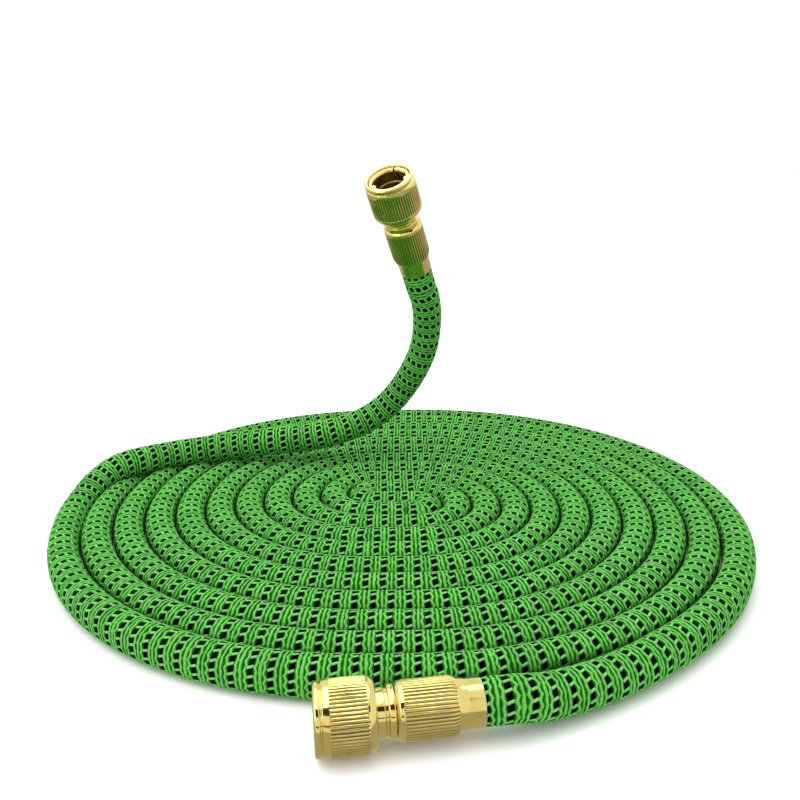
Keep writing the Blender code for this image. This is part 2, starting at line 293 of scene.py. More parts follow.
@dataclass(frozen=True, kw_only=True)
class YarnFinish(FibreFinish):
    """Bright polyester yarn, with a painted highlight on its crown and higher fibres, painted shade down its
    flanks, and painted shade in the creases.
    """

    shaded_flank_color: Triple
    crown_radius: float
    flank_radius: float
    roughness: float = 0.62
    fibres: float = 2600.0
    slant: float = 0.35
    bump_strength: float = 0.6
    bump_depth: float = 0.00018
    specular: float = 0.2
    unevenness: float = 0.5
    shades: Pair = (0.88, 1.10)
    crease_shade_brightness: float = 0.12
    roughness_spread: float = 0.1

    def feeds(self, sheet: NodeSheet) -> dict[str, object]:
        """What feeds each socket of the shader.

        Args:
            sheet: The material's sheet.

        Returns:
            A socket or a value by each socket's name.
        """
        fibres, feeds = self.fibre_feeds(sheet)
        height = fibres.outputs["Height"]
        # Painted highlight and shade: the colour runs from the shaded flank colour low on the yarn to the lit
        # crown colour at its top, and higher fibres are painted lighter.
        flat = {0: sheet.attribute(WEAVE_PLACE, "Vector"), 1: (1.0, 1.0, 0.0)}
        from_axis = {0: sheet.node("VectorMath", flat, operation="MULTIPLY").outputs[0]}
        reach = sheet.node("VectorMath", from_axis, operation="LENGTH").outputs["Value"]
        crown = sheet.remap(reach, (self.flank_radius, self.crown_radius), (0.0, 1.0))
        uneven = sheet.math("MULTIPLY_ADD", height, self.unevenness, -self.unevenness / 2)
        lit = sheet.math("ADD", crown, uneven)
        share = sheet.math("MINIMUM", sheet.math("MAXIMUM", lit, 0.0), 1.0)
        color = sheet.mix(share, (*self.shaded_flank_color, 1.0), (*self.color, 1.0))
        # Painted shade in the creases where turns press together, times a slow random change of tone.
        crease = sheet.remap(sheet.attribute(CREASE_SHADE_MASK, "Fac"), (0.0, 1.0), (1.0, self.crease_shade_brightness))
        shade = sheet.math("MULTIPLY", crease, sheet.remap(fibres.outputs["Shade"], (0.3, 0.7), self.shades))
        tinted = sheet.node("VectorMath", {0: color, "Scale": shade}, operation="SCALE").outputs[0]
        roughness = (self.roughness + self.roughness_spread, self.roughness - self.roughness_spread)
        return feeds | {"Base Color": tinted, "Roughness": sheet.remap(height, (0.2, 0.8), roughness)}


@dataclass(frozen=True, kw_only=True)
class PlainWeaveFinish(FibreFinish):
    """The close ground weave that shows between the yarns, with painted shade in its fibre hollows."""

    roughness: float = 0.8
    fibres: float = 1800.0
    slant: float = 1.4
    bump_strength: float = 0.7
    bump_depth: float = 0.0002
    specular: float = 0.03
    fibre_hollow_shade: float = 0.45

    def feeds(self, sheet: NodeSheet) -> dict[str, object]:
        """What feeds each socket of the shader.

        Args:
            sheet: The material's sheet.

        Returns:
            A socket or a value by each socket's name.
        """
        fibres, feeds = self.fibre_feeds(sheet)
        # Painted shade: the colour is darker where the fibre relief is low.
        deep = tuple(value * self.fibre_hollow_shade for value in self.color)
        share = sheet.remap(fibres.outputs["Height"], (0.3, 0.7), (0.0, 1.0))
        color = sheet.mix(share, (*deep, 1.0), (*self.color, 1.0))
        return feeds | {"Base Color": color, "Roughness": self.roughness}


@dataclass(frozen=True, kw_only=True)
class TurnedMetalFinish(Finish):
    """Polished turned metal with faint turning marks, a little tarnish in its grooves, and the same dark
    colour as painted shade in the socket bore.
    """

    tarnish_and_shade_color: Triple
    roughness: float = 0.11
    tarnished_roughness: float = 0.42
    marks: float = 9000.0
    mark_strength: float = 0.04
    mark_depth: float = 0.00002

    def feeds(self, sheet: NodeSheet) -> dict[str, object]:
        """What feeds each socket of the shader.

        Args:
            sheet: The material's sheet.

        Returns:
            A socket or a value by each socket's name.
        """
        place = sheet.attribute(TURNED_PLACE, "Vector")
        feeds = {"Place": place, "GrooveTarnishAndBoreShade": sheet.attribute(TARNISH_AND_BORE_SHADE, "Fac"), "Marks": self.marks}
        wear_and_shade = sheet.node("Group", feeds, node_tree=wear_and_shade_group()).outputs
        return {
            "Base Color": sheet.mix(wear_and_shade["TarnishAndShade"], (*self.color, 1.0), (*self.tarnish_and_shade_color, 1.0)),
            "Metallic": 1.0,
            "Roughness": sheet.remap(wear_and_shade["TarnishAndShade"], (0.0, 1.0), (self.roughness, self.tarnished_roughness)),
            "Normal": sheet.bump(wear_and_shade["Height"], self.mark_strength, self.mark_depth),
        }


# Meshes


def write_attribute(data: bpy.types.Mesh, name: str, values: np.ndarray) -> None:
    """Writes one number or vector for each vertex.

    Args:
        data: The mesh.
        name: The attribute's name.
        values: A number or a row of three for each vertex.
    """
    kind, key = ("FLOAT", "value") if values.ndim == 1 else ("FLOAT_VECTOR", "vector")
    made = data.attributes.new(name, kind, "POINT")
    made.data.foreach_set(key, values.astype(np.float32).ravel())


def vertex_places(data: bpy.types.Mesh) -> np.ndarray:
    """The mesh's vertices as an array of rows.

    Args:
        data: The mesh.

    Returns:
        The coordinates, one row for each vertex.
    """
    flat = np.empty(len(data.vertices) * 3, np.float32)
    data.vertices.foreach_get("co", flat)
    return flat.reshape(-1, 3).astype(np.float64)


def rows_at(wanted: np.ndarray, place: np.ndarray, rows: np.ndarray) -> np.ndarray:
    """Rows of three read off at wanted places between the places that they are known at."""
    return np.stack([np.interp(wanted, place, rows[:, axis]) for axis in range(3)], axis=1)


def mesh_from(bm: bmesh.types.BMesh, name: str) -> bpy.types.Mesh:
    """Turns a bmesh into mesh data and frees it.

    Args:
        bm: The bmesh.
        name: The mesh's name.

    Returns:
        The mesh.
    """
    data = bpy.data.meshes.new(name)
    bm.to_mesh(data)
    bm.free()
    return data


def spin_round(bm: bmesh.types.BMesh, steps: int) -> None:
    """Spins a bmesh's outline right round the Z axis and closes the seam.

    Args:
        bm: The bmesh, which holds the outline alone.
        steps: Sides round.
    """
    bmesh.ops.spin(
        bm,
        geom=[*bm.verts, *bm.edges],
        cent=(0.0, 0.0, 0.0),
        axis=(0.0, 0.0, 1.0),
        angle=FULL_TURN,
        steps=steps,
        use_merge=True,
    )
    bmesh.ops.remove_doubles(bm, verts=bm.verts, dist=MERGE_DISTANCE)


def cut_from(body: bmesh.types.BMesh, cutters: Sequence[bmesh.types.BMesh]) -> bmesh.types.BMesh:
    """Takes closed cutters out of a closed body with exact Booleans.

    Args:
        body: The body, which is freed.
        cutters: The cutters, which are freed.

    Returns:
        The cut body.
    """
    helpers = []
    for number, bm in enumerate((body, *cutters)):
        bmesh.ops.recalc_face_normals(bm, faces=bm.faces)
        helpers.append(linked_object(mesh_from(bm, f"cut_helper_{number}")))
    for helper in helpers[1:]:
        modifier = helpers[0].modifiers.new(helper.name, "BOOLEAN")
        modifier.operation = "DIFFERENCE"
        modifier.solver = "EXACT"
        modifier.object = helper
    bpy.context.view_layer.update()
    result = bmesh.new()
    result.from_object(helpers[0], bpy.context.evaluated_depsgraph_get())
    for helper in helpers:
        bpy.data.objects.remove(helper)
    return result


def linked_object(data: bpy.types.ID) -> bpy.types.Object:
    """Puts a mesh, a light or a camera in the scene, under its own name and at the origin.

    Args:
        data: The mesh, light or camera.

    Returns:
        The object.
    """
    made = bpy.data.objects.new(data.name, data)
    bpy.context.scene.collection.objects.link(made)
    return made


def add_piece(data: bpy.types.Mesh, finishes: Sequence[bpy.types.Material]) -> bpy.types.Object:
    """Adds a mesh as a piece of the object, under its own name.

    Args:
        data: The mesh, in place.
        finishes: Its materials in slot order.

    Returns:
        The piece.
    """
    for finish in finishes:
        data.materials.append(finish)
    return linked_object(data)


def dress(piece: bpy.types.Object, body: str) -> None:
    """Gives a piece its body, and reports it.

    Args:
        piece: The piece.
        body: The body that it moves with.
    """
    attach(piece, body)
    LOG.info("%s has %d faces", piece.name, len(piece.data.polygons))


# Hose


@dataclass
class HoseRoute:
    """The hose's centreline, from inside the front connector to inside the top one."""

    diameter: float = 0.020
    turn_pitch: float = 0.0188
    core_half_length: float = 0.0128
    outermost_turn: int = 10
    tail_angle: float = math.radians(-56.25)
    riser_angle: float = math.radians(191.25)
    exit_offset: float = 0.0009
    front_end: Triple = (0.0374, -0.21355, 0.0152)
    front_mouth_way: Triple = (-0.990, -0.142, 0.0)
    top_end: Triple = (0.0156, 0.0284, 0.1634)
    top_mouth_way: Triple = (-0.239, -0.486, 0.841)
    tail_points: tuple[Triple, ...] = (
        (0.0920, -0.1935, 0.0102),
        (0.0680, -0.2055, 0.0122),
    )
    riser_points: tuple[Triple, ...] = (
        (-0.21076, -0.00774, 0.01078),
        (-0.20978, 0.00578, 0.01362),
        (-0.20484, 0.02156, 0.02012),
        (-0.19162, 0.03830, 0.02662),
        (-0.16226, 0.06006, 0.02688),
        (-0.13462, 0.06806, 0.02836),
        (-0.11054, 0.06908, 0.03124),
        (-0.09212, 0.06642, 0.03382),
        (-0.06422, 0.06716, 0.03634),
        (-0.04374, 0.06824, 0.04042),
        (-0.02322, 0.07476, 0.04620),
        (-0.00526, 0.07836, 0.05772),
        (0.00990, 0.07636, 0.07682),
        (0.02076, 0.06728, 0.10128),
        (0.02354, 0.05590, 0.12408),
        (0.02202, 0.04298, 0.14148),
    )
    lead: float = 0.014
    sunk: float = 0.004
    step: float = 0.001
    samples_between_corners: int = 24
    easing_points: int = 25
    easing_length: float = 0.03
    upright_from: float = 0.01
    points: np.ndarray = field(init=False)
    sides: np.ndarray = field(init=False)
    ups: np.ndarray = field(init=False)
    squeeze: np.ndarray = field(init=False)
    length: float = field(init=False)
    climb_start: float = field(init=False)

    def __post_init__(self) -> None:
        """Lays the whole centreline out."""
        coil = self._coil()[1:-1]
        tail = self._free_stretch(
            self._exit(True, self.tail_angle), self.tail_points, self.front_end, self.front_mouth_way
        )[::-1]
        riser = self._free_stretch(
            self._exit(False, self.riser_angle), self.riser_points, self.top_end, self.top_mouth_way
        )
        joined = self._even(np.concatenate([tail, coil, riser]))
        coil_start = self._length_of(tail)
        self.climb_start = self._length_of(np.concatenate([tail, coil]))
        place = np.arange(len(joined)) * (self._length_of(joined) / (len(joined) - 1))
        self.points = self._eased(joined, place, (coil_start, self.climb_start))
        in_coil = np.minimum(place - coil_start, self.climb_start - place)
        self.squeeze = np.clip(in_coil / self.easing_length, 0.0, 1.0)
        self._frames(int(np.searchsorted(place, coil_start + self.upright_from)))
        self.length = self._length_of(self.points)

    @staticmethod
    def _length_of(points: np.ndarray) -> float:
        """The length along a row of points."""
        return float(np.linalg.norm(np.diff(points, axis=0), axis=1).sum())

    def turn_radius(self, turn: int) -> float:
        """The centreline radius of a turn, counted from 0 at the core."""
        return (turn + 0.5) * self.turn_pitch

    def centre(self, right: bool) -> Triple:
        """The right or the left one of the two centres that the turns run about."""
        sign = 1.0 if right else -1.0
        return (sign * self.core_half_length, -sign * self.turn_pitch / 2, self.diameter / 2)

    def _arc(self, right: bool, turn: int, start: float, end: float) -> np.ndarray:
        """One turn's arc about the right or the left centre.

        Args:
            right: Whether it turns about the right centre.
            turn: Which turn it is, from 0 at the core.
            start: Its first angle.
            end: Its last angle.

        Returns:
            Its points.
        """
        fewest = 8
        x, y, z = self.centre(right)
        radius = self.turn_radius(turn)
        count = max(fewest, int(abs(end - start) * radius / self.step))
        angles = np.linspace(start, end, count)
        return np.stack([x + radius * np.cos(angles), y + radius * np.sin(angles), np.full(count, z)], axis=1)

    def _coil(self) -> np.ndarray:
        """The coil: in to the fold on one set of turns, and out on the turns between them.

        Returns:
            Its points.
        """
        rows = []
        for turn in range(self.outermost_turn, -1, -1):
            right = turn % 2 == 0
            start = -QUARTER_TURN if right else QUARTER_TURN
            if turn == self.outermost_turn:
                start = self.tail_angle
            rows.append(self._arc(right, turn, start, QUARTER_TURN if right else 3 * QUARTER_TURN))
        for turn in range(self.outermost_turn + 1):
            right = turn % 2 == 1
            end = -QUARTER_TURN if right else QUARTER_TURN
            if turn == self.outermost_turn:
                end = self.riser_angle
            rows.append(self._arc(right, turn, QUARTER_TURN if right else 3 * QUARTER_TURN, end))
        return np.concatenate(rows)

    def outward(self, world: np.ndarray) -> np.ndarray:
        """How far points stand out from the outermost turn's centreline, negative inside it.

        Args:
            world: The points.

        Returns:
            The distances.
        """
        sign = np.where(world[:, 0] > 0, 1.0, -1.0)
        past = np.maximum(sign * world[:, 0] - self.core_half_length, 0.0)
        side = world[:, 1] + sign * self.turn_pitch / 2
        return np.hypot(past, side) - self.turn_radius(self.outermost_turn)

    def _exit(self, right: bool, angle: float) -> list[Vector]:
        """Where a free stretch leaves the outermost turn, and a point a hose radius on.

        Args:
            right: Whether it leaves the turn about the right centre.
            angle: Where on that turn it leaves.

        Returns:
            The two points.
        """
        outward = Vector((math.cos(angle), math.sin(angle), 0.0))
        tangent = Vector((outward.y, -outward.x, 0.0))
        centre = Vector(self.centre(right))
        radius = self.turn_radius(self.outermost_turn)
        beyond = centre + outward * (radius + self.exit_offset) + tangent * self.diameter / 2
        return [centre + outward * radius, beyond]

    def _free_stretch(
        self, leaving: Sequence[Vector], chosen: Sequence[Triple], end: Triple, mouth_way: Triple
    ) -> np.ndarray:
        """A smooth curve from the coil to a little inside a connector's sleeve.

        Args:
            leaving: Its first points, where it leaves the coil.
            chosen: The points chosen along it.
            end: Where it enters the connector.
            mouth_way: The way the connector's mouth faces.

        Returns:
            Close points along it.
        """
        mouth = Vector(mouth_way).normalized()
        entering = [Vector(end) - mouth * self.lead, Vector(end), Vector(end) + mouth * self.sunk]
        rows = [np.array(corner) for corner in (*leaving, *map(Vector, chosen), *entering)]
        rows = [2 * rows[0] - rows[1], *rows, 2 * rows[-1] - rows[-2]]
        share = np.linspace(0, 1, self.samples_between_corners, endpoint=False)[:, None]
        found = []
        for before, start, stop, after in zip(rows, rows[1:], rows[2:], rows[3:]):
            bend = 2 * before - 5 * start + 4 * stop - after
            twist = 3 * start - before - 3 * stop + after
            found.append(0.5 * (2 * start + (stop - before) * share + bend * share**2 + twist * share**3))
        return np.concatenate([*found, rows[-2][None]])

    def _even(self, points: np.ndarray) -> np.ndarray:
        """The same line with its points an even step apart.

        Args:
            points: The line.

        Returns:
            The line's new points.
        """
        gaps = np.linalg.norm(np.diff(points, axis=0), axis=1)
        points = points[np.concatenate([[True], gaps > MERGE_DISTANCE])]
        along = np.concatenate([[0.0], np.cumsum(np.linalg.norm(np.diff(points, axis=0), axis=1))])
        return rows_at(np.linspace(0.0, along[-1], round(along[-1] / self.step) + 1), along, points)

    def _eased(self, points: np.ndarray, place: np.ndarray, joins: Sequence[float]) -> np.ndarray:
        """The line with its joins eased, so that no kink shows.

        Args:
            points: The line.
            place: The length along it at each point.
            joins: The lengths at which stretches join.

        Returns:
            The eased line.
        """
        window = np.hanning(self.easing_points + 2)[1:-1]
        window /= window.sum()
        half = self.easing_points // 2
        padded = np.concatenate([np.repeat(points[:1], half, 0), points, np.repeat(points[-1:], half, 0)])
        smooth = np.stack([np.convolve(padded[:, axis], window, "valid") for axis in range(3)], axis=1)
        near = np.min([np.abs(place - join) for join in joins], axis=0)
        faded_at = 1.5
        share = np.clip(faded_at - near / self.easing_length, 0.0, 1.0)[:, None]
        return points * (1 - share) + smooth * share

    def _frames(self, start: int) -> None:
        """Carries an upright frame along the line, both ways from a point in the coil.

        Args:
            start: The point where up is straight up.
        """
        tangents = np.gradient(self.points, axis=0)
        tangents /= np.linalg.norm(tangents, axis=1, keepdims=True)
        ups = np.zeros_like(tangents)
        ups[start] = (0.0, 0.0, 1.0)
        for order in (range(start + 1, len(ups)), range(start - 1, -1, -1)):
            last = ups[start]
            for index in order:
                last = last - tangents[index] * (last @ tangents[index])
                last = last / np.linalg.norm(last)
                ups[index] = last
        self.ups = ups
        self.sides = np.cross(ups, tangents)


@dataclass
class WovenHose:
    """The woven sleeve: wavy yarns round the hose, with a ring of black specks after every third yarn."""

    route: HoseRoute
    ring_spacing: float = 0.0091
    specks_round: int = 13
    yarns_per_ring: int = 3
    speck_band: float = 0.0026
    ground_drop: float = 0.00052
    yarn_crown_width: float = 0.00062
    yarn_crown_drop: float = 0.00002
    yarn_gap: float = 0.00020
    tuck: float = 0.00003
    zigzag: float = 0.00010
    pinch: float = 0.00040
    unevenness: float = 0.00013
    bridge_length: float = 0.0036
    bridge_width: float = 0.0014
    bridge_taper: float = 0.7
    bridge_slant: float = math.radians(20)
    bridge_drop: float = 0.00010
    bridge_wander: float = 0.000208
    pressed_from: float = 0.0080
    crease: float = 0.00040
    # Where the painted crease shade starts across the hose, and how fast it fades on the coil's outer side.
    crease_shade_from: float = 0.0079
    crease_shade_fade: float = 0.002
    press_gap: float = 0.0002
    end_neck: float = 0.955
    end_neck_length: float = 0.007
    path_step: float = 0.003
    yarn_seed: int = 7
    bridge_seed: int = 57

    @property
    def radius(self) -> float:
        """The hose's radius over its yarns."""
        return self.route.diameter / 2

    @property
    def ground_radius(self) -> float:
        """The radius of the ground between the yarns."""
        return self.radius - self.ground_drop

    @property
    def rings(self) -> int:
        """How many rings of specks the hose has."""
        return round(self.route.length / self.ring_spacing)

    @property
    def pitch(self) -> float:
        """The ring spacing that fits the length exactly."""
        return self.route.length / self.rings

    @property
    def sides_round(self) -> int:
        """Mesh sides round the hose: one at each speck and one between."""
        return 2 * self.specks_round

    def _repeated(self, bm: bmesh.types.BMesh, count: int) -> None:
        """Copies all of a bmesh along the hose, one pitch apart, until there are count of it.

        Args:
            bm: The bmesh, which holds one of them.
            count: How many there are in the end.
        """
        size = len(bm.verts)
        made = 1
        while made < count:
            take = min(made, count - made)
            bm.verts.ensure_lookup_table()
            chosen = set(bm.verts[: take * size])
            edges = [edge for edge in bm.edges if edge.verts[0] in chosen]
            faces = [face for face in bm.faces if face.verts[0] in chosen]
            grown = bmesh.ops.duplicate(bm, geom=[*chosen, *edges, *faces])
            new = [item for item in grown["geom"] if isinstance(item, bmesh.types.BMVert)]
            bmesh.ops.translate(bm, verts=new, vec=(0.0, 0.0, made * self.pitch))
            made += take

    def _wander(self, straight: np.ndarray, shifts: np.ndarray, offset: float) -> np.ndarray:
        """How far each point stands along the hose from its straight ring.

        Args:
            straight: The places on the straight sleeve.
            shifts: The shift of each ring at each place round the hose.
            offset: How far round the first place lies, as a share of the way to the next.

        Returns:
            The shifts, one for each point.
        """
        places = shifts.shape[1]
        turn = np.arctan2(straight[:, 1], straight[:, 0]) / FULL_TURN * places - offset
        ring = np.clip((straight[:, 2] / self.pitch).astype(int), 0, self.rings)
        return shifts[ring, np.round(turn).astype(int) % places]

    def _bent(self, straight: np.ndarray, along: np.ndarray, squeeze: np.ndarray) -> np.ndarray:
        """Bends the straight sleeve to the route, narrower at its ends and flat-sided where turns touch.

        Args:
            straight: The places on the straight sleeve.
            along: Each point's place along the hose.
            squeeze: How much the turns press on each other there, from 0 to 1.

        Returns:
            The points in place.
        """
        route = self.route
        place = np.linspace(0.0, route.length, len(route.points))
        rows = (route.points, route.sides, route.ups)
        middle, sideways, upwards = (rows_at(along, place, row) for row in rows)
        from_end = np.minimum(along, route.length - along)
        necks = [self.end_neck, self.end_neck, 1.0]
        neck = np.interp(from_end, [0.0, route.sunk, self.end_neck_length], necks)
        side = straight[:, 0] * neck
        up = straight[:, 1] * neck
        pressed_to = route.turn_pitch / 2 - self.crease
        share = (pressed_to - self.pressed_from) / (self.radius - self.pressed_from)
        over = np.maximum(np.abs(side) - self.pressed_from, 0.0)
        side = np.sign(side) * (np.abs(side) - over * (1.0 - share) * squeeze)
        return middle + sideways * side[:, None] + upwards * up[:, None]

    def _pressed(self, world: np.ndarray, along: np.ndarray) -> np.ndarray:
        """Moves the climbing stretch out of the turns that it lies on, as a soft hose gives way.

        Args:
            world: The hose's points.
            along: Each point's place along the hose.

        Returns:
            The points, with those of the climbing stretch pressed.
        """
        route = self.route
        smallest = 1e-6
        climbing = along > route.climb_start
        from_core = world[:, :2] - np.array(route.centre(False)[:2])
        from_core[:, 0] = np.minimum(from_core[:, 0], 0.0)
        reach = np.maximum(np.linalg.norm(from_core, axis=1), smallest)
        outward = reach - route.turn_radius(route.outermost_turn - 1)
        rise = world[:, 2] - self.radius
        far = np.hypot(outward, rise)
        clear = self.radius + self.press_gap
        beside = route.turn_pitch / 2 + self.press_gap
        on_top = climbing & (outward <= 0) & (rise > 0)
        on_flank = climbing & (outward > 0) & (rise > 0) & (outward < beside) & (far < clear)
        needed = np.minimum(clear / np.maximum(far, smallest), beside / np.maximum(outward, smallest))
        grown = np.where(on_flank, needed, 1.0)
        moved = world.copy()
        moved[:, :2] += from_core * (outward * (grown - 1.0) / reach)[:, None]
        moved[:, 2] = self.radius + rise * grown
        moved[:, 2] = np.where(on_top, np.maximum(moved[:, 2], self.radius + clear), moved[:, 2])
        return moved

    def _laid(
        self, bm: bmesh.types.BMesh, name: str, shifts: np.ndarray | None = None, offset: float = 0.0
    ) -> bpy.types.Mesh:
        """Turns a straight stretch of sleeve into mesh data that lies along the route.

        Args:
            bm: The straight sleeve, with its axis along Z.
            name: The mesh's name.
            shifts: How far its rings wander, as in _wander, or None.
            offset: How far round the first place of the shifts lies, as in _wander.

        Returns:
            The mesh.
        """
        bmesh.ops.recalc_face_normals(bm, faces=bm.faces)
        data = mesh_from(bm, name)
        straight = vertex_places(data)
        if shifts is not None:
            straight[:, 2] += self._wander(straight, shifts, offset)
        route = self.route
        along = np.clip(straight[:, 2], 0.0, route.length)
        squeeze = np.interp(along, np.linspace(0.0, route.length, len(route.points)), route.squeeze)
        world = self._pressed(self._bent(straight, along, squeeze), along)
        data.vertices.foreach_set("co", world.astype(np.float32).ravel())
        # Painted shade mask: how far into the pressed crease between turns each point lies, faded out on the
        # outer side of the coil.
        depth = (np.abs(straight[:, 0]) - self.crease_shade_from) / (self.radius - self.crease_shade_from)
        inside = np.clip(-route.outward(world) / self.crease_shade_fade, 0.0, 1.0)
        write_attribute(data, WEAVE_PLACE, straight)
        write_attribute(data, CREASE_SHADE_MASK, np.clip(depth, 0.0, 1.0) * squeeze * inside)
        data.shade_smooth()
        data.update()
        return data

    def _yarn_shifts(self, number: int) -> np.ndarray:
        """How far one of the yarns stands along the hose from its straight ring.

        Args:
            number: Which of the yarns after a ring of specks, from 0.

        Returns:
            The shift of each ring at each side round the hose.
        """
        rng = np.random.default_rng(self.yarn_seed + number)
        jitter = rng.normal(0.0, self.unevenness, (self.rings + 2, self.sides_round))
        drift = rng.normal(0.0, self.unevenness, self.rings + 2)[:, None]
        lean = 1.0 - 2.0 * number / (self.yarns_per_ring - 1)
        at_speck = np.where(np.arange(self.sides_round) % 2 == 0, 1.0, -1.0)
        return at_speck * (self.zigzag + lean * self.pinch) + (jitter + drift)

    def build_ground(self) -> bpy.types.Mesh:
        """The sleeve's ground: a closed tube whose bands under the specks are black.

        Returns:
            The mesh, laid along the route.
        """
        bm = bmesh.new()
        half = self.speck_band / 2
        middles = [(ring + 0.5) * self.pitch for ring in range(self.rings)]
        edges = [station for middle in middles for station in (middle - half, middle + half)]
        line = [bm.verts.new((self.ground_radius, 0.0, at)) for at in (0.0, *edges, self.route.length)]
        for pair in zip(line, line[1:]):
            bm.edges.new(pair)
        spin_round(bm, self.sides_round)
        bmesh.ops.holes_fill(bm, edges=[edge for edge in bm.edges if edge.is_boundary], sides=0)
        for face in bm.faces:
            from_specks = abs(face.calc_center_median().z / self.pitch % 1.0 - 0.5) * self.pitch
            face.material_index = int(from_specks < half)
        return self._laid(bm, "hose_sleeve")

    def build_yarn(self, number: int) -> bpy.types.Mesh:
        """One wavy yarn for each ring of specks, all along the hose.

        Args:
            number: Which of the yarns after a ring of specks, from 0.

        Returns:
            The mesh, laid along the route.
        """
        bm = bmesh.new()
        width = (self.pitch - self.speck_band) / self.yarns_per_ring
        middle = -self.pitch / 2 + self.speck_band / 2 + width * (number + 0.5)
        foot = (width - self.yarn_gap) / 2
        crown = self.yarn_crown_width / 2
        low = self.ground_radius - self.tuck
        high = self.radius - self.yarn_crown_drop
        section = ((low, -foot), (high, -crown), (high, crown), (low, foot))
        corners = [bm.verts.new((reach, 0.0, self.pitch + middle + across)) for reach, across in section]
        for pair in zip(corners, corners[1:] + corners[:1]):
            bm.edges.new(pair)
        self._repeated(bm, self.rings - 1)
        spin_round(bm, self.sides_round)
        return self._laid(bm, f"hose_yarn_{number + 1}", self._yarn_shifts(number))

    def build_bridges(self) -> bpy.types.Mesh:
        """The pale floats that bridge the black band between its specks.

        Returns:
            The mesh, laid along the route.
        """
        bm = bmesh.new()
        low = self.ground_radius - self.tuck
        depth = self.ground_drop - self.bridge_drop + self.tuck
        corner = self.bridge_length / math.sqrt(2)
        outwards = Matrix.Rotation(QUARTER_TURN, 4, "Y") @ Matrix.Rotation(QUARTER_TURN / 2, 4, "Z")
        narrowed = Matrix.Diagonal((1.0, self.bridge_width / self.bridge_length, 1.0, 1.0))
        slanted = Matrix.Rotation(self.bridge_slant, 4, "X")
        lifted = Matrix.Translation((low + depth / 2, 0.0, self.pitch / 2))
        bmesh.ops.create_cone(
            bm,
            cap_ends=True,
            segments=4,
            radius1=corner,
            radius2=corner * self.bridge_taper,
            depth=depth,
            matrix=lifted @ slanted @ narrowed @ outwards,
        )
        between = Matrix.Rotation(FULL_TURN / self.sides_round, 3, "Z")
        bmesh.ops.rotate(bm, verts=bm.verts, cent=(0.0, 0.0, 0.0), matrix=between)
        copies = self.specks_round - 1
        bmesh.ops.spin(
            bm,
            geom=[*bm.verts, *bm.edges, *bm.faces],
            cent=(0.0, 0.0, 0.0),
            axis=(0.0, 0.0, 1.0),
            angle=FULL_TURN * copies / self.specks_round,
            steps=copies,
            use_duplicate=True,
        )
        self._repeated(bm, self.rings)
        rng = np.random.default_rng(self.bridge_seed)
        wander = rng.normal(0.0, self.bridge_wander, (self.rings + 1, self.specks_round))
        return self._laid(bm, "hose_bridges", wander - self.zigzag, 0.5)

    def build(self) -> list[bpy.types.Object]:
        """Builds and dresses the whole hose.

        Returns:
            The hose's pieces, the sleeve first.
        """
        # The yarns and floats carry a painted highlight and painted shade, and the ground's darker green is
        # painted shade between the yarns.
        ground = PlainWeaveFinish("shaded_green_weave", (0.010, 0.110, 0.005))
        specks = PlainWeaveFinish("black_speck_weave", (0.0006, 0.0012, 0.0005), roughness=1.0)
        relief = {"crown_radius": self.radius, "flank_radius": self.ground_radius}
        yarn = YarnFinish("bright_green_yarn", (0.112, 0.455, 0.066), shaded_flank_color=(0.018, 0.190, 0.008), **relief)
        pale = YarnFinish(
            "pale_green_float", (0.175, 0.500, 0.125), shaded_flank_color=(0.030, 0.200, 0.018), roughness=0.5, **relief
        )
        sleeve = add_piece(self.build_ground(), (ground.material(), specks.material()))
        bright = yarn.material()
        yarns = [add_piece(self.build_yarn(number), (bright,)) for number in range(self.yarns_per_ring)]
        pieces = [sleeve, *yarns, add_piece(self.build_bridges(), (pale.material(),))]
        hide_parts("hose_coil", "hose_tail", "hose_riser")
        for piece in pieces:
            dress(piece, HOSE_BODY)
        LOG.info("hose length %.3f m, %d rings of specks", self.route.length, self.rings)
        return pieces


# Connectors


@dataclass(frozen=True)
class Corner:
    """A corner of a turned outline: its radius, its distance in from the mouth, and how far it is rounded."""

    radius: float
    station: float
    rounding: float = 0.0


@dataclass(frozen=True)
class Knurl:
    """A band of straight ridges round a turned part, with the depth of the cut at each side of a ridge."""

    start: float
    end: float
    ridges: int
    depth: float
    run_out: float = 0.0004
    groove: tuple[float, ...] = (1.0, 0.22, 0.0, 0.22)

    @property
    def sides(self) -> int:
        """Mesh sides round the part: one for each step of each ridge's groove."""
        return self.ridges * len(self.groove)

    @property
    def middle(self) -> float:
        """The distance of the band's middle from the mouth."""
        return (self.start + self.end) / 2

    @property
    def skin(self) -> float:
        """How far in from the widest radius a surface still counts as the outside, and not as the bore."""
        return 3 * self.depth

    def cut(self, bm: bmesh.types.BMesh) -> np.ndarray:
        """Cuts the ridges into the outside of a turned part.

        Args:
            bm: The part, with its axis along Z and the mouth at 0.

        Returns:
            How deep each vertex was cut, from 0 on a crest to 1 in a groove.
        """
        depths = np.zeros(len(bm.verts))
        outside = max(vert.co.xy.length for vert in bm.verts) - self.skin
        for index, vert in enumerate(bm.verts):
            reach = vert.co.xy.length
            in_band = self.start + self.run_out / 2 <= -vert.co.z <= self.end - self.run_out / 2
            if in_band and reach >= outside:
                turn = math.atan2(vert.co.y, vert.co.x) / FULL_TURN
                depths[index] = self.groove[round(turn * self.sides) % len(self.groove)]
                vert.co.xy *= (reach - self.depth * depths[index]) / reach
        return depths


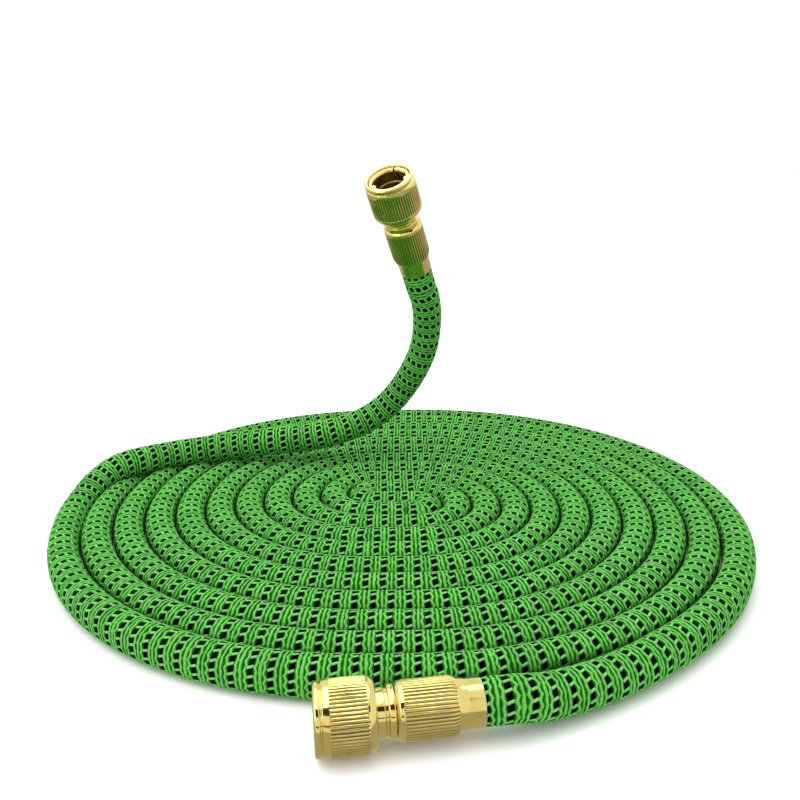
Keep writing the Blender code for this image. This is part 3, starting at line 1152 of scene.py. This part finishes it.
def turned_bmesh(outline: Sequence[Corner], sides: int) -> bmesh.types.BMesh:
    """Spins a closed outline, with its corners rounded, about the connector's axis.

    Args:
        outline: The outline's corners in order.
        sides: Sides round the part.

    Returns:
        A bmesh in the connector's own frame, with the mouth at Z 0 and the hose below it.
    """
    bm = bmesh.new()
    corners = [bm.verts.new((corner.radius, 0.0, -corner.station)) for corner in outline]
    bm.faces.new(corners)
    for vert, corner in zip(corners, outline):
        if corner.rounding > 0.0:
            bmesh.ops.bevel(
                bm,
                geom=[vert],
                offset=corner.rounding,
                segments=3,
                profile=0.5,
                affect="VERTICES",
                material=-1,
                clamp_overlap=True,
            )
    bmesh.ops.delete(bm, geom=list(bm.faces), context="FACES_ONLY")
    on_axis = [edge for edge in bm.edges if max(vert.co.x for vert in edge.verts) < MERGE_DISTANCE]
    bmesh.ops.delete(bm, geom=on_axis, context="EDGES")
    spin_round(bm, sides)
    return bm


@dataclass
class QuickConnector:
    """A brass quick connector: sliding release collar, body with its socket, clamp nut and two lock balls."""

    side: Side
    end: Triple
    mouth_way: Triple
    slit_side: Triple
    brass: bpy.types.Material
    steel: bpy.types.Material
    length: float = 0.0694
    body_sides: int = 128
    sharp_angle: float = math.radians(32)
    collar_radius: float = 0.0152
    collar_length: float = 0.0253
    collar_bore: float = 0.0127
    collar_rear_bore: float = 0.01035
    collar_rear_start: float = 0.0235
    collar_knurl: Knurl = Knurl(0.0064, 0.0218, 58, 0.00052)
    socket_radius: float = 0.0124
    socket_bore: float = 0.0098
    socket_setback: float = 0.0012
    socket_floor: float = 0.0182
    socket_end: float = 0.0232
    socket_narrowing: float = 0.0010
    shaded_from: float = 0.0036
    shaded_margin: float = 0.0002
    post_radius: float = 0.0045
    post_height: float = 0.0060
    neck_radius: float = 0.01005
    neck_groove: float = 0.0005
    flange_radius: float = 0.0110
    flange_start: float = 0.0298
    flange_end: float = 0.0329
    shank_radius: float = 0.0077
    shank_gap: float = 0.0003
    hose_gap: float = 0.0004
    nut_radius: float = 0.01205
    nut_start: float = 0.0332
    nut_end: float = 0.0594
    nut_knurl: Knurl = Knurl(0.0361, 0.0582, 46, 0.00040)
    sleeve_start: float = 0.0620
    sleeve_radius: float = 0.0101
    sleeve_bore: float = 0.0097
    sleeve_depth: float = 0.0052
    ball_radius: float = 0.0020
    ball_circle: float = 0.0101
    ball_depth: float = 0.0046
    ball_hole_gap: float = 0.0003
    ball_hole_sides: int = 40
    slit_width: float = 0.0011
    slit_depth: float = 0.0045
    slit_azimuth: float = math.radians(65)

    @property
    def place(self) -> Matrix:
        """The connector's own frame: the mouth's centre, with Z out of the mouth.

        Returns:
            The frame's matrix.
        """
        out = Vector(self.mouth_way).normalized()
        across = Vector(self.slit_side).cross(out).normalized()
        turn = Matrix((across, out.cross(across), out)).transposed().to_4x4()
        return Matrix.Translation(Vector(self.end) + out * self.length) @ turn

    def _named(self, part: str) -> str:
        """A piece's name on this side."""
        return f"{self.side.value}_{part}"

    def _finished(
        self, bm: bmesh.types.BMesh, part: str, slot: Slot, knurl: Knurl | None = None
    ) -> bpy.types.Object:
        """Cuts a knurl, keeps the turned places, and puts a part in its place and on its body.

        Args:
            bm: The part in the connector's own frame.
            part: The part's name without its side.
            slot: The material slot that it takes its finish from.
            knurl: Its ridged band, or None.

        Returns:
            The finished piece.
        """
        node = self._named(part)
        grooves = np.zeros(len(bm.verts)) if knurl is None else knurl.cut(bm)
        bmesh.ops.recalc_face_normals(bm, faces=bm.faces)
        data = mesh_from(bm, f"{node}_{slot.value}")
        places = vertex_places(data)
        # Painted shade: brass deep in the socket bore takes the full tarnish colour, standing in for the
        # shade inside it.
        if slot is Slot.BRASS:
            near_axis = np.hypot(places[:, 0], places[:, 1]) < self.socket_bore + self.shaded_margin
            in_socket = (-places[:, 2] > self.shaded_from) & (-places[:, 2] < self.socket_end)
            grooves[near_axis & in_socket] = 1.0
        write_attribute(data, TURNED_PLACE, places)
        write_attribute(data, TARNISH_AND_BORE_SHADE, grooves)
        data.transform(self.place)
        data.shade_smooth()
        data.set_sharp_from_angle(angle=self.sharp_angle)
        piece = add_piece(data, (self.steel if slot is Slot.STEEL else self.brass,))
        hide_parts(node)
        dress(piece, self._named("collar") if part == "release_collar" else HOSE_BODY)
        return piece

    def build_collar(self) -> bpy.types.Object:
        """The release collar: a rounded rim, a groove, and ridges between two smooth bands.

        Returns:
            The piece.
        """
        outer = self.collar_radius
        knurl = self.collar_knurl
        rim = outer - 0.0004
        groove = outer - 0.0010
        outline = (
            Corner(self.collar_bore, 0.0010, 0.0004),
            Corner(outer - 0.0021, 0.0, 0.0008),
            Corner(rim, 0.0004, 0.0009),
            Corner(rim, 0.0025, 0.0004),
            Corner(groove, 0.0028, 0.0002),
            Corner(groove, 0.0033, 0.0002),
            Corner(outer - 0.0003, 0.0036, 0.0002),
            Corner(outer, 0.0050, 0.0006),
            Corner(outer, knurl.start),
            Corner(outer, knurl.start + knurl.run_out),
            Corner(outer, knurl.middle),
            Corner(outer, knurl.end - knurl.run_out),
            Corner(outer, knurl.end),
            Corner(outer - 0.0002, knurl.end + 0.0012, 0.0006),
            Corner(outer - 0.0016, self.collar_length, 0.0011),
            Corner(self.collar_rear_bore, self.collar_length, 0.0003),
            Corner(self.collar_rear_bore, self.collar_rear_start),
            Corner(self.collar_bore, self.collar_rear_start),
        )
        return self._finished(turned_bmesh(outline, knurl.sides), "release_collar", Slot.BRASS, knurl)

    def _body_bmesh(self) -> bmesh.types.BMesh:
        """The body without its holes: socket, neck, flange and the shank for the hose.

        Returns:
            The body in the connector's own frame.
        """
        lip = self.socket_setback
        floor = self.socket_floor
        tip = floor - self.post_height
        bore = self.socket_bore
        narrow = bore - self.socket_narrowing
        neck_groove = self.neck_radius - self.neck_groove
        hose_end = self.length - self.sleeve_depth - self.hose_gap
        outline = (
            Corner(0.0, tip),
            Corner(self.post_radius * 0.45, tip, 0.0004),
            Corner(self.post_radius * 0.5, tip + 0.0008, 0.0003),
            Corner(self.post_radius * 0.8, tip + 0.0010, 0.0003),
            Corner(self.post_radius, tip + 0.0022, 0.0004),
            Corner(self.post_radius, floor, 0.0006),
            Corner(narrow, floor, 0.0008),
            Corner(narrow, lip + 0.0082, 0.0002),
            Corner(bore, lip + 0.0076, 0.0002),
            Corner(bore, lip + 0.0012, 0.0002),
            Corner(bore + 0.0007, lip, 0.0003),
            Corner(self.socket_radius, lip, 0.0005),
            Corner(self.socket_radius, self.socket_end, 0.0003),
            Corner(self.neck_radius, self.socket_end),
            Corner(self.neck_radius, self.flange_start - 0.0012, 0.0003),
            Corner(neck_groove, self.flange_start - 0.0009),
            Corner(neck_groove, self.flange_start),
            Corner(self.flange_radius, self.flange_start, 0.0009),
            Corner(self.flange_radius, self.flange_end, 0.0006),
            Corner(self.shank_radius, self.flange_end),
            Corner(self.shank_radius, hose_end, 0.0004),
            Corner(0.0, hose_end),
        )
        return turned_bmesh(outline, self.body_sides)

    def build_body(self) -> bpy.types.Object:
        """The body, with the cross hole of its lock balls and the slit in its lip.

        Returns:
            The piece.
        """
        past_both_walls = self.socket_radius * 2.4
        past_one_wall = (self.socket_radius - self.socket_bore) * 1.4
        mid_wall = (self.socket_radius + self.socket_bore) / 2
        holes = bmesh.new()
        across = Matrix.Translation((0, 0, -self.ball_depth)) @ Matrix.Rotation(QUARTER_TURN, 4, "Y")
        bmesh.ops.create_cone(
            holes,
            cap_ends=True,
            segments=self.ball_hole_sides,
            radius1=self.ball_radius + self.ball_hole_gap,
            radius2=self.ball_radius + self.ball_hole_gap,
            depth=past_both_walls,
            matrix=across,
        )
        slit = bmesh.new()
        size = Matrix.Diagonal((past_one_wall, self.slit_width, self.slit_depth * 2, 1))
        in_wall = Matrix.Translation((mid_wall, 0, -self.socket_setback))
        turned = Matrix.Rotation(self.slit_azimuth, 4, "Z")
        bmesh.ops.create_cube(slit, size=1.0, matrix=turned @ in_wall @ size)
        return self._finished(cut_from(self._body_bmesh(), (holes, slit)), "connector_body", Slot.BRASS)

    def build_nut(self) -> bpy.types.Object:
        """The clamp nut: ridges between a smooth lip and a cone, and the sleeve that closes on the hose.

        Returns:
            The piece.
        """
        outer = self.nut_radius
        knurl = self.nut_knurl
        bore = self.shank_radius + self.shank_gap
        lip = outer - 0.0002
        sleeve_floor = self.length - self.sleeve_depth
        outline = (
            Corner(bore, self.nut_start),
            Corner(outer - 0.0014, self.nut_start, 0.0002),
            Corner(lip, self.nut_start + 0.0013, 0.0004),
            Corner(lip, knurl.start - 0.0005),
            Corner(outer, knurl.start),
            Corner(outer, knurl.start + knurl.run_out),
            Corner(outer, knurl.middle),
            Corner(outer, knurl.end - 0.0022),
            Corner(outer - 0.0006, knurl.end - knurl.run_out),
            Corner(outer - 0.0008, knurl.end),
            Corner(outer - 0.0013, self.nut_end, 0.0006),
            Corner(self.sleeve_radius + 0.0002, self.sleeve_start, 0.0004),
            Corner(self.sleeve_radius, self.sleeve_start + 0.0008),
            Corner(self.sleeve_radius, self.length, 0.0003),
            Corner(self.sleeve_bore, self.length, 0.0001),
            Corner(self.sleeve_bore, sleeve_floor),
            Corner(bore, sleeve_floor),
        )
        return self._finished(turned_bmesh(outline, knurl.sides), "clamp_nut", Slot.BRASS, knurl)

    def build_ball(self, number: int, way: int) -> bpy.types.Object:
        """One lock ball in its hole.

        Args:
            number: The ball's number in its name.
            way: Which side of the axis it lies on, 1 or -1.

        Returns:
            The piece.
        """
        bm = bmesh.new()
        place = Matrix.Translation((way * self.ball_circle, 0, -self.ball_depth))
        bmesh.ops.create_icosphere(bm, subdivisions=4, radius=self.ball_radius, matrix=place)
        return self._finished(bm, f"lock_ball_{number}", Slot.STEEL)

    def build(self) -> list[bpy.types.Object]:
        """Builds the connector and gives its pieces."""
        held = [self.build_body(), self.build_nut(), self.build_ball(1, -1), self.build_ball(2, 1)]
        return [*held, self.build_collar()]


# Studio


@dataclass(frozen=True)
class Panel:
    """A rectangle in the studio that faces the object, such as a light or a card."""

    name: str
    size: Pair
    place: Triple
    aim: Triple

    @property
    def matrix(self) -> Matrix:
        """The panel's place, turned to face its aim."""
        facing = (Vector(self.place) - Vector(self.aim)).to_track_quat("Z", "Y").to_matrix().to_4x4()
        return Matrix.Translation(self.place) @ facing


@dataclass
class Studio:
    """The photograph's viewpoint, a plain pale floor and soft light."""

    camera_place: Triple = (0.0068, -0.4998, 0.2281)
    yaw: float = math.radians(-0.2849)
    pitch: float = math.radians(16.1347)
    roll: float = math.radians(-0.765)
    focal_share: float = 809.96 / 800.0
    sensor: float = 36.0
    clip: Pair = (0.01, 60.0)
    floor_size: float = 44.0
    floor_drop: float = 0.0002
    floor_finish: Finish = Finish("studio_white", (0.94, 0.94, 0.935))
    card_color: Triple = (0.01, 0.008, 0.006)
    sky_strength: float = 1.06
    sky_color: Triple = (1.0, 1.0, 1.0)
    ground_color: Triple = (0.46, 0.45, 0.42)
    horizon: Pair = (-0.10, -0.012)
    lights: tuple[tuple[Panel, float], ...] = (
        (Panel("overhead_light", (2.2, 1.6), (-0.2, 0.1, 1.5), (0.0, 0.0, 0.0)), 22.0),
        (Panel("side_light", (0.9, 0.9), (-1.1, -0.9, 0.9), (0.0, 0.0, 0.05)), 5.0),
    )
    cards: tuple[Panel, ...] = (
        Panel("high_dark_card", (1.3, 0.46), (0.0, -0.88, 0.92), (0.0, -0.2, 0.0)),
        Panel("low_dark_card", (1.3, 0.11), (0.0, -1.30, 0.26), (0.0, -0.2, 0.0)),
    )

    def add_camera(self) -> None:
        """Adds the camera where the photograph was taken from."""
        ahead = math.cos(self.pitch)
        forward = Vector((math.sin(self.yaw) * ahead, math.cos(self.yaw) * ahead, -math.sin(self.pitch)))
        level = Vector((math.cos(self.yaw), -math.sin(self.yaw), 0.0))
        upright = level.cross(forward)
        right = level * math.cos(self.roll) + upright * math.sin(self.roll)
        up = upright * math.cos(self.roll) - level * math.sin(self.roll)
        data = bpy.data.cameras.new("camera")
        data.sensor_fit = "HORIZONTAL"
        data.sensor_width = self.sensor
        data.lens = self.sensor * self.focal_share
        data.clip_start, data.clip_end = self.clip
        camera = linked_object(data)
        turn = Matrix((right, up, -forward)).transposed().to_4x4()
        camera.matrix_world = Matrix.Translation(self.camera_place) @ turn
        bpy.context.scene.camera = camera

    def add_floor(self) -> None:
        """Adds the floor just under the coil."""
        bm = bmesh.new()
        bmesh.ops.create_grid(bm, x_segments=2, y_segments=2, size=self.floor_size / 2)
        bmesh.ops.translate(bm, verts=bm.verts, vec=(0.0, 0.0, -self.floor_drop))
        floor = add_piece(mesh_from(bm, "studio_floor"), (self.floor_finish.material(),))
        floor.visible_glossy = False

    def add_card(self, panel: Panel) -> None:
        """Adds a black card that only shows in reflections.

        Args:
            panel: Where it stands.
        """
        bm = bmesh.new()
        bmesh.ops.create_grid(bm, x_segments=1, y_segments=1, size=0.5)
        bmesh.ops.scale(bm, verts=bm.verts, vec=(*panel.size, 1.0))
        bmesh.ops.transform(bm, verts=bm.verts, matrix=panel.matrix)
        card = add_piece(mesh_from(bm, panel.name), (Finish(panel.name, self.card_color).material(),))
        card.visible_camera = False
        card.visible_diffuse = False
        card.visible_shadow = False

    def add_light(self, panel: Panel, power: float) -> None:
        """Adds a soft rectangular light.

        Args:
            panel: Where it stands.
            power: Its power in watts.
        """
        data = bpy.data.lights.new(panel.name, "AREA")
        data.shape = "RECTANGLE"
        data.size, data.size_y = panel.size
        data.energy = power
        linked_object(data).matrix_world = panel.matrix

    def add_sky(self) -> None:
        """Fills the room with even white light, and gives metal a darker ground to reflect."""
        world = bpy.data.worlds.new("studio")
        world.use_nodes = True
        bpy.context.scene.world = world
        sheet = NodeSheet(world.node_tree)
        rise = sheet.split(sheet.node("TexCoord", {}).outputs["Generated"])[2]
        share = sheet.remap(rise, self.horizon, (0.0, 1.0))
        color = sheet.mix(share, (*self.ground_color, 1.0), (*self.sky_color, 1.0))
        sheet.feed(world.node_tree.nodes["Background"], {"Color": color, "Strength": self.sky_strength})

    def build(self) -> None:
        """Sets the whole studio up."""
        self.add_camera()
        self.add_floor()
        self.add_sky()
        for panel, power in self.lights:
            self.add_light(panel, power)
        for panel in self.cards:
            self.add_card(panel)
        bpy.context.scene.view_settings.view_transform = "Standard"


def main() -> None:
    """Builds the studio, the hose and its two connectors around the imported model."""
    logging.basicConfig(level=logging.INFO, format="%(name)s: %(message)s")
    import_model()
    Studio().build()
    route = HoseRoute()
    hose = WovenHose(route)
    hose_pieces = hose.build()
    brass = TurnedMetalFinish("polished_brass", (0.78, 0.635, 0.21), tarnish_and_shade_color=(0.17, 0.11, 0.03)).material()
    steel = TurnedMetalFinish(
        "polished_steel", (0.80, 0.79, 0.77), tarnish_and_shade_color=(0.40, 0.38, 0.35), roughness=0.10
    ).material()
    front = QuickConnector(Side.FRONT, route.front_end, route.front_mouth_way, (0, 0, 1), brass, steel)
    top = QuickConnector(Side.TOP, route.top_end, route.top_mouth_way, (0, 1, 0), brass, steel)
    front.build()
    fittings = top.build()


if __name__ == "__main__":
    main()
